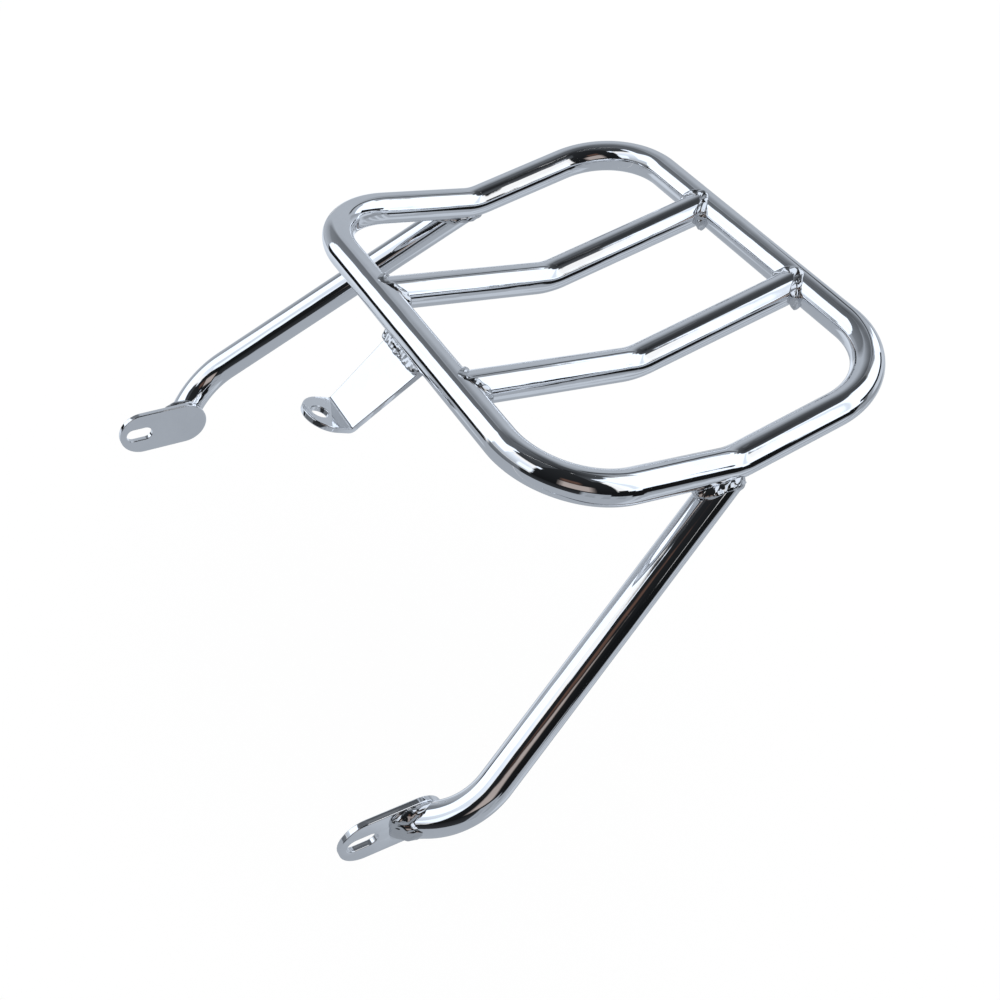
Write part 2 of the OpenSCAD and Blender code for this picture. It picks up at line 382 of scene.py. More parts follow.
def mesh_object(name, replaced, points, faces, finish="chrome"):
    """A smooth mesh piece that rides on the frame and stands for its CAD node."""
    mesh = bpy.data.meshes.new(name)
    mesh.from_pydata(points, [], faces)
    mesh.polygons.foreach_set("use_smooth", [True] * len(mesh.polygons))
    mesh.materials.append(FINISHES[finish])
    turn_outward(mesh)
    piece = bpy.data.objects.new(name, mesh)
    bpy.context.scene.collection.objects.link(piece)
    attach(piece, "root")
    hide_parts(replaced)
    return piece


def turn_outward(mesh):
    """Turns the faces outward if the mesh is inside out, which its signed volume tells."""
    total = 0.0
    for polygon in mesh.polygons:
        v = [mesh.vertices[i].co for i in polygon.vertices]
        for k in range(1, len(v) - 1):
            total += v[0].dot(v[k].cross(v[k + 1]))
    if total < 0:
        mesh.flip_normals()


print("a ring of the test path has", len(sweep(test)[0]), "points")

# %% [markdown]
# ## Where the tubes end
# Each tube end is cut to the shape of what it meets: a saddle on a tube, a flat slant on a plate.
# A boolean would cut the mesh anywhere and leave slivers. Here the last rings are slid back along
# their own tube until every point lies on the other surface, so the rings stay whole.
# For that, a surface is a function that gives a point's distance from it, negative inside.

# %% Skins that the tube ends are cut to
LEG_GAP, LEG_GAP_OUTSIDE = 0.8, 1.6
OUTSIDE_FROM, OUTSIDE_WIDTH = 2, 4


def end_bar_skin(dir_y, length, turn):
    """Distance to the skin of an end bar, whose panel is turned about the kink line."""
    y, z = dir_y * length * math.cos(turn), dir_y * length * math.sin(turn)
    return lambda p: math.hypot(p.y - y, p.z - z) - TUBE_R


def rail_skin(p):
    """Distance to the skin of the kinked side rail."""
    start = KINK_R * math.tan(RISE / 2)
    y, z = p.y + start, p.z - KINK_R
    angle = math.atan2(y, -z)
    if angle < 0:
        flat = abs(p.z)
    elif angle < RISE:
        flat = abs(math.hypot(y, z) - KINK_R)
    else:
        flat = abs(-math.sin(RISE) * p.y + math.cos(RISE) * p.z)
    return math.hypot(p.x - RAIL_X, flat) - TUBE_R


def leg_end_skin(p):
    """The rail's skin grown by a gap that weld fills, wider on the outer side of a leg."""
    outer = min(1.0, max(0.0, (p.x - RAIL_X - OUTSIDE_FROM) / OUTSIDE_WIDTH))
    return rail_skin(p) - LEG_GAP - LEG_GAP_OUTSIDE * outer * outer * (3 - 2 * outer)


def tab_skin(p):
    """Distance to the outer face of the tab."""
    return p.x - TAB_MID.x - PLATE_T


def skin_normal(skin, p, h=0.02):
    """Outward direction of a skin at a point, from its distances around the point."""
    axes = (Vector((1, 0, 0)), Vector((0, 1, 0)), Vector((0, 0, 1)))
    return Vector([skin(p + h * e) - skin(p - h * e) for e in axes]).normalized()


def cut_to(rings, along, skin, near=0.01, least=0.02, tries=400):
    """Slides the points that lie inside a skin back out of it, each along its own tube."""
    moved = 0
    for ring, direction in zip(rings, along):
        for k, p in enumerate(ring):
            if skin(p) >= 0:
                continue
            for _ in range(tries):
                d = skin(p)
                if d >= -near:
                    break
                p = p - max(0.5 * abs(d), least) * direction
            ring[k] = p
            moved += 1
    return moved


print("rail skin at its crown:", round(rail_skin(Vector((RAIL_X, -FRONT_L / 2, TUBE_R))), 4))

# %% [markdown]
# ## Hoop, cross bars and legs
# The hoop is one tube with four corner bends and two kinks, so that the rear half rises. The two
# cross bars have the same kink, and the legs run forward, down and outward to the mounts.
# Each could be modelled by hand from a cylinder, but one sweep along a line of corners serves all
# of them and keeps their kinks in line.

# %% Hoop
CORNER_R = 41.0


def kinked_line(x):
    """Front end, kink and rear end of a tube that runs from front to rear at a distance x."""
    rear_y, rear_z = REAR_L * math.cos(RISE), REAR_L * math.sin(RISE)
    return [Vector((x, -FRONT_L, 0)), Vector((x, 0, 0)), Vector((x, rear_y, rear_z))]


hoop_corners = kinked_line(-RAIL_X) + kinked_line(RAIL_X)[::-1]
hoop_radii = [CORNER_R, KINK_R, CORNER_R, CORNER_R, KINK_R, CORNER_R]
hoop_rings = sweep(bent_path(hoop_corners, hoop_radii, closed=True), closed=True)
hoop = tube_mesh("perimeter_tube", "hoop", hoop_rings, closed=True)
print(hoop.name, "faces", len(hoop.data.polygons))


# %% Cross bars
def end_cuts(path, rings, first_skin, first_count, last_skin, last_count):
    """Cuts the first and the last rings of a tube to the skins that its two ends meet."""
    directions = [step[1] for step in path]
    first = cut_to(rings[:first_count], [-d for d in directions[:first_count]], first_skin)
    last = cut_to(rings[-last_count:], directions[-last_count:], last_skin)
    return first, last


BAR_X = 38.5
BAR_END_RINGS = 8
front_skin, rear_skin = end_bar_skin(-1, FRONT_L, 0.0), end_bar_skin(1, REAR_L, RISE)
for side_name, x in (("left", BAR_X), ("right", -BAR_X)):
    path = bent_path(kinked_line(x), [0, KINK_R, 0])
    rings = sweep(path)
    cuts = end_cuts(path, rings, front_skin, BAR_END_RINGS, rear_skin, BAR_END_RINGS)
    bar = tube_mesh("bar_" + side_name, "crossbar_" + side_name, rings)
    print(bar.name, "points cut at the ends", cuts)

# %% Legs
KNEE_R = 40.0
LEG_STEP = 1.6
LEG_TOP_RINGS, LEG_FOOT_RINGS = 16, 30
FOOT_SPARE = 14
foot_dir = (LEG_FOOT - LEG_KNEE).normalized()
leg_corners = [LEG_TOP, LEG_KNEE, LEG_FOOT + FOOT_SPARE * foot_dir]
path = bent_path(leg_corners, [0, KNEE_R, 0], step=LEG_STEP)
rings = sweep(path)
cuts = end_cuts(path, rings, leg_end_skin, LEG_TOP_RINGS, tab_skin, LEG_FOOT_RINGS)
for side_name, side in (("left", 1), ("right", -1)):
    leg = tube_mesh("stay_" + side_name, "leg_" + side_name, rings, side=side)
    print(leg.name, "points cut at the ends", cuts)

# %% [markdown]
# ## Plates with polished edges
# Tabs and bracket are cut from 3 mm plate. Buffing before plating rounds every edge by about half
# a millimetre, and that rounding is what catches the light in a thin bright or dark line.
# A flat curve with holes, filled, extruded and bevelled, gives exactly that edge all round. A Bevel
# modifier on the CAD plate would have to fight its long thin triangles.

# %% Flat plate with rounded edges
EDGE = 0.5
EDGE_CUTS = 3
ARC_STEP = 6
MERGE = 0.0005
FLAT_WEIGHT = 90


def outline_points(pieces, step=ARC_STEP):
    """Points of an outline: plain points, and arcs written as (centre x, y, radius, from, to)."""
    points = []
    for item in pieces:
        if len(item) == 2:
            points.append(item)
            continue
        cx, cy, r, start, end = item
        parts = max(2, math.ceil(abs(end - start) / step))
        for k in range(parts + 1):
            a = math.radians(start + (end - start) * k / parts)
            points.append((cx + r * math.cos(a), cy + r * math.sin(a)))
    return points


def plate(outlines, thickness):
    """A bmesh of a flat plate in the xy plane, its upper face at z 0, holes included."""
    curve = bpy.data.curves.new("outline", "CURVE")
    curve.dimensions = "2D"
    curve.fill_mode = "BOTH"
    curve.extrude = thickness / 2 - EDGE
    curve.bevel_depth = EDGE
    curve.bevel_resolution = EDGE_CUTS
    curve.offset = -EDGE
    for points in outlines:
        spline = curve.splines.new("POLY")
        spline.points.add(len(points) - 1)
        for point, (x, y) in zip(spline.points, points):
            point.co = (x, y, 0, 1)
        spline.use_cyclic_u = True
    holder = bpy.data.objects.new("outline", curve)
    mesh = bpy.data.meshes.new_from_object(holder)
    bm = bmesh.new()
    bm.from_mesh(mesh)
    bpy.data.objects.remove(holder)
    bpy.data.curves.remove(curve)
    bpy.data.meshes.remove(mesh)
    bmesh.ops.remove_doubles(bm, verts=bm.verts, dist=MERGE)
    bmesh.ops.translate(bm, verts=bm.verts, vec=(0, 0, -thickness / 2))
    return bm


def plate_object(name, replaced, bm, place, side=1):
    """Turns a plate into a piece: place maps its millimetres to those from the kink line."""
    for v in bm.verts:
        v.co = to_frame(place(v.co), side)
    bmesh.ops.recalc_face_normals(bm, faces=bm.faces)
    points = [tuple(v.co) for v in bm.verts]
    bm.verts.index_update()
    faces = [tuple(v.index for v in f.verts) for f in bm.faces]
    bm.free()
    piece = mesh_object(name, replaced, points, faces)
    smooth = piece.modifiers.new("even shading", "WEIGHTED_NORMAL")
    smooth.keep_sharp = False
    smooth.weight = FLAT_WEIGHT
    return piece


print("rounding of the plate edges in mm:", EDGE)

# %% [markdown]
# ## Tabs and bracket
# The tabs are flat plates with round ends, and a bolt goes through the slot of each. The bracket
# is a wider plate, folded up into a short tongue with a round hole for one more bolt.
# A press folds the real bracket from flat plate, so it is drawn flat here, cut into strips across
# the fold and bent by a function. A Simple Deform modifier could bend it too, but the fold's centre
# and its limits are easier to write as numbers.

# %% Tabs
TAB_L, TAB_W = 50.0, 26.0
SLOT_L, SLOT_W = 14.5, 8.0


def obround(length, width, shift=0.0):
    """A slot shape along x: two half circles and the straights between them."""
    h = (length - width) / 2
    return outline_points([(shift + h, 0, width / 2, -90, 90), (shift - h, 0, width / 2, 90, 270)])


def on_tab(q):
    """A point of the flat tab, stood up on its inner face."""
    return TAB_MID + q.x * TAB_U + q.y * TAB_V + Vector((q.z + PLATE_T, 0, 0))


for side_name, side in (("left", 1), ("right", -1)):
    bm = plate([obround(TAB_L, TAB_W), obround(SLOT_L, SLOT_W, SLOT_FWD)], PLATE_T)
    tab = plate_object("plate_tab_" + side_name, "tab_" + side_name, bm, on_tab, side)
    print(tab.name, "faces", len(tab.data.polygons))

# %% Bracket, cut flat and then folded
# Place and size of the sloping plate, then of its tongue with the hole, then the fold between them.
BRACKET_X = -4.0
BRACKET_L, TOP_W = 42.5, 31.5
ANCHOR_FWD, ANCHOR_UP = 1.0, 0.5
SLOPE = math.radians(47)
TONGUE_TILT = math.radians(14)
TONGUE_W, TONGUE_L, NECK = 24.5, 19.0, 1.0
HOLE_D, HOLE_AT = 8.5, 11.0
FOLD = SLOPE + TONGUE_TILT
FOLD_R = 1.5
FOLD_CUTS = 12
INSET = FOLD_R * math.tan(FOLD / 2)
ARC = FOLD_R * FOLD
down = Vector((0, -math.cos(SLOPE), -math.sin(SLOPE)))
face_n = Vector((0, -math.sin(SLOPE), math.cos(SLOPE)))
anchor = Vector((BRACKET_X, -FRONT_L - ANCHOR_FWD, -TUBE_R + ANCHOR_UP))


def fold(q):
    """A point of the flat bracket, folded: y is 0 where the plate's bend starts."""
    if q.y >= 0:
        y, z = INSET + q.y, q.z
    elif q.y > -ARC:
        turn = -q.y / FOLD_R
        y = INSET - (FOLD_R - q.z) * math.sin(turn)
        z = FOLD_R - (FOLD_R - q.z) * math.cos(turn)
    else:
        rest = -q.y - ARC
        y = INSET - (FOLD_R - q.z) * math.sin(FOLD) - rest * math.cos(FOLD)
        z = FOLD_R - (FOLD_R - q.z) * math.cos(FOLD) + rest * math.sin(FOLD)
    return anchor + Vector((q.x, 0, 0)) + (BRACKET_L - y) * down + z * face_n


top = BRACKET_L - INSET
tip = -ARC - (TONGUE_L - INSET)
outer = outline_points([
    (TONGUE_W / 2, NECK), (TOP_W / 2, top), (-TOP_W / 2, top), (-TONGUE_W / 2, NECK),
    (0, tip + TONGUE_W / 2, TONGUE_W / 2, 180, 360),
])
hole = outline_points([(0, -ARC - (HOLE_AT - INSET), HOLE_D / 2, 0, 360 - ARC_STEP)])
bm = plate([outer, hole], PLATE_T)
for k in range(FOLD_CUTS + 1):
    bmesh.ops.bisect_plane(
        bm, geom=bm.verts[:] + bm.edges[:] + bm.faces[:],
        plane_co=(0, -ARC * k / FOLD_CUTS, 0), plane_no=(0, 1, 0),
    )
bracket = plate_object("plate_bracket", "centre_bracket", bm, fold)
print(bracket.name, "faces", len(bracket.data.polygons))

# %% [markdown]
# ## Weld beads round the tube ends
# A welder lays a bead as a row of small overlapping puddles, so it looks like a pushed-over stack
# of coins, with lumps where the hand paused. It follows the seam between two surfaces.
# The seam is found by sliding down the tube's skin until the other surface is met. One row of
# points then crosses the bead from its toe on the tube to its toe on the other surface, and is
# pushed outward by the bead's crown, ripples and lumps. A bevel between solids would be smooth and
# lifeless.

# %% Bead builder
# Points round and across a bead, and where the search for its seam starts, ends and is content.
RING_COLUMNS, RING_ROWS = 340, 18
SEAM_FROM, SEAM_TO = 30.0, -4.0
SEAM_NEAR, SEAM_LOST, SEAM_SMOOTH = 0.02, 1.5, 4

# How the toes wander and sink, and what a crown's height is made of.
TOE_WANDER, TOE_SINK = 0.25, 0.3
BODY_SHARE, COIN_SHARE, LUMP_SHARE = 0.7, 0.35, 0.8
COIN_BOW, COIN_WOBBLE, COIN_SHARPNESS, COIN_STRETCH = 0.45, 0.35, 0.6, 1.2
FINE_LUMPS, FINE_SCALE = 0.25, 2.6
RING_LEAST, ROOT_DEPTH = 0.25, 1.2


def ripple(s, t, pitch, seed):
    """Height of the stacked puddles at length s along the bead and t across it."""
    wobble = COIN_WOBBLE * noise.noise(Vector((s * 0.2, seed, 0)))
    phase = s / pitch + COIN_BOW * (2 * t - 1) ** 2 + wobble
    return abs(math.sin(math.pi * phase)) ** COIN_SHARPNESS


def seam_length(start, axis, end_skin):
    """How far from its start a line along a tube's skin meets another skin, coming from outside."""
    best, found, s = math.inf, 0.0, SEAM_FROM
    while s > SEAM_TO:
        d = end_skin(start + s * axis)
        if d < best:
            best, found = d, s
        if d < SEAM_NEAR or d > best + SEAM_LOST:
            break
        s -= max(0.7 * d, SEAM_NEAR)
    return found


def lifted(p, normal, deep, hump, least):
    """A bead's point, pushed out to a least height at the crown, and just inside at a toe."""
    wanted = least * hump - TOE_SINK * (1 - hump)
    return p + (wanted - deep) * normal if deep < wanted else p


def weld_ring(base, axis, skin, end_skin, shape, seed, pitch=4.0, grain=0.24, keep=None):
    """Rows of points across a bead round the end of a tube, from its skin to another skin."""
    axis = axis.normalized()
    e1 = axis.orthogonal().normalized()
    e2 = axis.cross(e1)
    angles = [2 * math.pi * i / RING_COLUMNS for i in range(RING_COLUMNS)]
    sides = [math.cos(phi) * e1 + math.sin(phi) * e2 for phi in angles]
    slide = [seam_length(base + TUBE_R * e, axis, end_skin) for e in sides]
    near = range(-SEAM_SMOOTH, SEAM_SMOOTH + 1)
    grid = []
    for i, (phi, e) in enumerate(zip(angles, sides)):
        smooth = sum(slide[(i + k) % RING_COLUMNS] for k in near) / len(near)
        seam = base + TUBE_R * e + smooth * axis
        n = skin_normal(skin, seam)
        toe_a, toe_b, crown = shape(e, n)
        wander = Vector((2 * math.cos(phi), 2 * math.sin(phi), seed))
        toe_a *= 1 + TOE_WANDER * noise.noise(wander)
        toe_b *= 1 + TOE_WANDER * noise.noise(wander + Vector((0, 0, 9)))
        a = seam + toe_a * axis
        b = seam + toe_b * (e - e.dot(n) * n).normalized()
        b -= skin(b) * skin_normal(skin, b)
        if keep:
            b = keep(b)
        normal = (e + n).normalized()
        row = []
        for j in range(RING_ROWS + 1):
            t = j / RING_ROWS
            hump = math.sin(math.pi * t) ** 0.8
            p = a.lerp(b, t)
            lump = noise.noise(p * grain + Vector((seed, 0, 0)))
            lump += FINE_LUMPS * noise.noise(p * grain * FINE_SCALE)
            coin = ripple(phi * TUBE_R * COIN_STRETCH, t, pitch, seed)
            rise = BODY_SHARE + COIN_SHARE * coin + LUMP_SHARE * lump
            p += crown * hump * rise * normal
            radial = (p - base) - (p - base).dot(axis) * axis
            deep = min(skin(p), radial.length - TUBE_R) if t < 0.5 else skin(p)
            row.append(lifted(p, normal, deep, hump, RING_LEAST))
        row.append(seam - ROOT_DEPTH * normal)
        grid.append(row)
    return grid


def band_mesh(grid, closed=True):
    """Points and faces of a band whose rows are closed loops, with end caps if it is open."""
    steps, count = len(grid), len(grid[0])
    points = [p for row in grid for p in row]
    faces = []
    for i in range(steps if closed else steps - 1):
        k = (i + 1) % steps
        for j in range(count):
            m = (j + 1) % count
            faces.append((i * count + j, k * count + j, k * count + m, i * count + m))
    if not closed:
        faces.append(tuple(range(count)))
        faces.append(tuple((steps - 1) * count + j for j in reversed(range(count))))
    return points, faces


def place_ring(name, grid, side=1, turn=0.0):
    """Puts a bead into the frame: turned about the kink line first, then mirrored for side -1."""
    points, faces = band_mesh(grid)
    tilt = Matrix.Rotation(turn, 3, "X")
    points = [to_frame(tilt @ p, side) for p in points]
    piece = mesh_object(name.replace("bead", "weld"), name, points, faces, "chrome_weld")
    piece.data.validate()
    print(piece.name, "faces", len(piece.data.polygons))


print("points in a ring bead:", RING_COLUMNS * (RING_ROWS + 2))

# %% [markdown]
# ## Welds of the cross bars
# Each cross bar ends square on an end bar of the hoop, so its bead is a ring in the shape of a
# saddle: full in the corners at the sides, flatter above and below, where both skins run level, and
# thinner on the far side.
# All four are built level. The rear ones are then turned with the rear panel, which is easier than
# building them on a slope.

# %% Beads at the ends of the cross bars
# Full size of a bead, and how much it loses where both skins run level and on its far side.
BAR_TOE, LEVEL_TOE, FAR_TOE = 3.3, 1.2, 1.4
BAR_CROWN, LEVEL_CROWN, FAR_CROWN = 1.8, 1.0, 0.9

# Name of the end, its direction and distance from the kink line, its panel's turn, and the share
# of the flattening.
BAR_ENDS = (("front", -1, FRONT_L, 0.0, 0.8), ("rear", 1, REAR_L, RISE, 0.4))


def bar_bead(flatten):
    """The function that gives the toes and the crown of a cross bar's bead, all round it."""
    def shape(e, n):
        level = flatten * max(0.0, e.dot(n)) ** 2
        far = min(1.0, max(0.0, -e.x - 0.2) * 1.6)
        toe = BAR_TOE - LEVEL_TOE * level - FAR_TOE * far
        return toe, toe, BAR_CROWN - LEVEL_CROWN * level - FAR_CROWN * far
    return shape


for side_name, x, side_seed in (("left", BAR_X, 1.3), ("right", -BAR_X, 5.1)):
    for end, dir_y, length, turn, flatten in BAR_ENDS:
        skin = end_bar_skin(dir_y, length, 0.0)
        base, axis = Vector((x, dir_y * length, 0)), Vector((0, -dir_y, 0))
        grid = weld_ring(base, axis, skin, skin, bar_bead(flatten), side_seed + dir_y)
        place_ring(f"bead_bar_{end}_{side_name}", grid, turn=turn)

# %% [markdown]
# ## Welds of the legs
# Each leg runs into the side rail at a slant, so its bead is a long slanted ring. The leg's end is
# cut a little short on the outer side, and the weld fills the step below the rail.
# At the lower end the bead lies flat on the tab. The welder built it up thick at the front, towards
# the slot, and left it thin at the back, where there is no room beside the plate's round end.
# The builder above serves both: only the skins and the widths of the toes differ.

# %% Beads of the legs and tabs
BEAD_INSET = 0.8
TAB_PITCH, TAB_GRAIN = 6.0, 0.17


def leg_bead(e, n):
    """Toes and crown of the bead at a leg's top: long on the leg and short on the rail outside."""
    outer = min(1.0, max(0.0, e.x / 0.6))
    toe_on_leg = 3.2 + 1.0 * outer
    toe_on_rail = 3.0 - 2.3 * outer
    crown = 1.3
    return toe_on_leg, toe_on_rail, crown


def tab_bead(e, n):
    """Toes and crown of the bead on a tab: thick at the front, thin at the back."""
    front = min(1.0, max(0.0, (e.dot(TAB_U) + 0.1) / 0.7))
    under = max(0.0, -e.dot(TAB_V))
    toe_on_leg = 1.6 + 6.0 * front * (1 - 0.5 * under)
    toe_on_tab = 1.2 + 4.2 * front
    crown = 0.4 + 1.5 * front * (1 - 0.4 * under)
    return toe_on_leg, toe_on_tab, crown


def inside_tab(p):
    """A point moved back to a little inside the tab's outline."""
    half, limit = (TAB_L - TAB_W) / 2, TAB_W / 2 - BEAD_INSET
    q = p - TAB_MID
    u, v = q.dot(TAB_U), q.dot(TAB_V)
    middle = min(half, max(-half, u))
    reach = math.hypot(u - middle, v)
    if reach > limit:
        new_u, new_v = middle + (u - middle) * limit / reach, v * limit / reach
        p = p + (new_u - u) * TAB_U + (new_v - v) * TAB_V
    return p


for side_name, side, side_seed in (("left", 1, 2.2), ("right", -1, 7.4)):
    grid = weld_ring(LEG_TOP, LEG_KNEE - LEG_TOP, rail_skin, leg_end_skin, leg_bead, side_seed)
    place_ring(f"bead_leg_{side_name}", grid, side)
    grid = weld_ring(
        LEG_FOOT, -foot_dir, tab_skin, tab_skin, tab_bead, side_seed + 3,
        pitch=TAB_PITCH, grain=TAB_GRAIN, keep=inside_tab,
    )
    place_ring(f"bead_tab_{side_name}", grid, side)

# %% [markdown]
# ## The long weld of the bracket
# The bracket is held by one long bead in the groove under the front bar: a high round ridge of
# overlapping puddles with a steep flank on either side.
# It is a straight strip, so its rows are laid in the plane across the bar and swept along it.

# %% Bracket bead
# Half length, points along and across, puddles, toes on bar and bracket, and heights.
STRIP_HALF = 17.3
STRIP_COLUMNS, STRIP_ROWS = 260, 22
STRIP_PITCH, STRIP_SEED, STRIP_LEAST = 4.1, 3.0, 0.2
BAR_TOE_TURN, FACE_TOE = 0.60, 5.2
HUMP_HEIGHT, RIDGE_HEIGHT, RIDGE_WIDTH = 1.5, 0.75, 0.17

offset = (anchor - Vector((BRACKET_X, -FRONT_L, 0))).dot(face_n)
seam = offset * face_n + math.sqrt(TUBE_R ** 2 - offset ** 2) * down
seam_angle = math.atan2(-seam.z, -seam.y)
groove_out = (down + Vector((0, -math.sin(seam_angle), math.cos(seam_angle)))).normalized()
grid = []
for i in range(STRIP_COLUMNS + 1):
    s = -STRIP_HALF + 2 * STRIP_HALF * i / STRIP_COLUMNS
    here = Vector((BRACKET_X + s, -FRONT_L, 0))
    fade = math.sqrt(max(0.0, 1 - (abs(s) / STRIP_HALF) ** 8))
    narrow = 0.25 + 0.75 * fade
    wide = 1 + 0.22 * noise.noise(Vector((s * 0.3, 4, 0)))
    toe_angle = seam_angle - BAR_TOE_TURN * wide * narrow
    a = Vector((0, -math.cos(toe_angle), -math.sin(toe_angle))) * TUBE_R
    b = seam + FACE_TOE * wide * narrow * down
    row = []
    for j in range(STRIP_ROWS + 1):
        t = j / STRIP_ROWS
        hump = math.sin(math.pi * t) ** 0.7
        ridge = math.exp(-((t - 0.5) / RIDGE_WIDTH) ** 2)
        coin = ripple(s, t, STRIP_PITCH, STRIP_SEED)
        lump = noise.noise(Vector((s * 0.22, t * 2, 2)))
        rise = fade * (HUMP_HEIGHT * hump * (1 + 0.5 * lump) + RIDGE_HEIGHT * ridge * coin)
        p = a.lerp(b, t) + rise * groove_out
        deep = min(math.hypot(p.y, p.z) - TUBE_R, (p - seam).dot(face_n))
        row.append(here + lifted(p, groove_out, deep, hump, STRIP_LEAST))
    row.append(here + seam - groove_out)
    grid.append(row)
points, faces = band_mesh(grid, closed=False)
points = [to_frame(p) for p in points]
bead = mesh_object("weld_bracket", "bead_bracket", points, faces, "chrome_weld")
print(bead.name, "faces", len(bead.data.polygons))

# %% [markdown]
# ## The studio
# Chrome has no colour of its own: it shows the room. In a product studio that room is built from
# cards: two large white softboxes, a pale grey sweep behind and below, and the dark of the room
# behind the camera, which draws the black lines along the tubes.
# The cards stand on a wide dome round the rack, each given by its compass direction and height in
# degrees, so that they can be placed where the reflections ask for them. One softbox takes several
# cards, because its outline is more than a rectangle. Only mirror rays see the cards.

# %% Cards round the rack
CENTRE = Vector((0, 0.14, 0.10))
CARD_COLUMNS, CARD_ROWS = 24, 16
LEAST_FEATHER = 0.001
COOL = (0.91, 0.99, 1.10)


def card_material(name, low, high, feather, tint):
    """A glowing card, grey low at its foot and high at its head, with edges that fade out."""
    material = bpy.data.materials.new(name)
    material.use_nodes = True
    tree = material.node_tree
    tree.nodes.clear()
    out = tree.nodes.new("ShaderNodeOutputMaterial")
    glow = tree.nodes.new("ShaderNodeEmission")
    clear = tree.nodes.new("ShaderNodeBsdfTransparent")
    mix = tree.nodes.new("ShaderNodeMixShader")
    place = tree.nodes.new("ShaderNodeSeparateXYZ")
    uv = tree.nodes.new("ShaderNodeTexCoord").outputs["UV"]
    tree.links.new(uv, place.inputs[0])
    shade = tree.nodes.new("ShaderNodeMix")
    shade.data_type = "RGBA"
    for socket, grey in ((MIX_A, low), (MIX_B, high)):
        shade.inputs[socket].default_value = (*(grey * c for c in tint), 1)
    tree.links.new(place.outputs["Y"], shade.inputs[MIX_FACTOR])
    tree.links.new(shade.outputs[MIX_RESULT], glow.inputs["Color"])
    fades = []
    for axis, amount in zip("XY", feather):
        from_end = math_node(tree, "SUBTRACT", 1.0, place.outputs[axis])
        near = math_node(tree, "MINIMUM", place.outputs[axis], from_end)
        fades.append(math_node(tree, "DIVIDE", near, max(amount, LEAST_FEATHER), clamp=True))
    tree.links.new(math_node(tree, "MULTIPLY", *fades), mix.inputs[0])
    tree.links.new(clear.outputs[0], mix.inputs[1])
    tree.links.new(glow.outputs[0], mix.inputs[2])
    tree.links.new(mix.outputs[0], out.inputs["Surface"])
    return material


def card(name, azimuths, heights, low, high, radius, feather, tint=COOL):
    """A curved card between two compass directions (0 is +Y, 90 is +X) and two heights."""
    points, faces, uvs = [], [], []
    for j in range(CARD_ROWS + 1):
        el = math.radians(heights[0] + (heights[1] - heights[0]) * j / CARD_ROWS)
        for i in range(CARD_COLUMNS + 1):
            az = math.radians(azimuths[0] + (azimuths[1] - azimuths[0]) * i / CARD_COLUMNS)
            ray = Vector((math.sin(az) * math.cos(el), math.cos(az) * math.cos(el), math.sin(el)))
            points.append(CENTRE + radius * ray)
            uvs.append((i / CARD_COLUMNS, j / CARD_ROWS))
    for j in range(CARD_ROWS):
        for i in range(CARD_COLUMNS):
            k = j * (CARD_COLUMNS + 1) + i
            faces.append((k, k + 1, k + CARD_COLUMNS + 2, k + CARD_COLUMNS + 1))
    mesh = bpy.data.meshes.new(name)
    mesh.from_pydata(points, [], faces)
    layer = mesh.uv_layers.new(name="card")
    for loop in mesh.loops:
        layer.data[loop.index].uv = uvs[loop.vertex_index]
    mesh.materials.append(card_material(name, low, high, feather, tint))
    piece = bpy.data.objects.new(name, mesh)
    bpy.context.scene.collection.objects.link(piece)
    piece.visible_camera = False
    piece.visible_diffuse = False
    piece.visible_shadow = False
    piece.visible_transmission = False


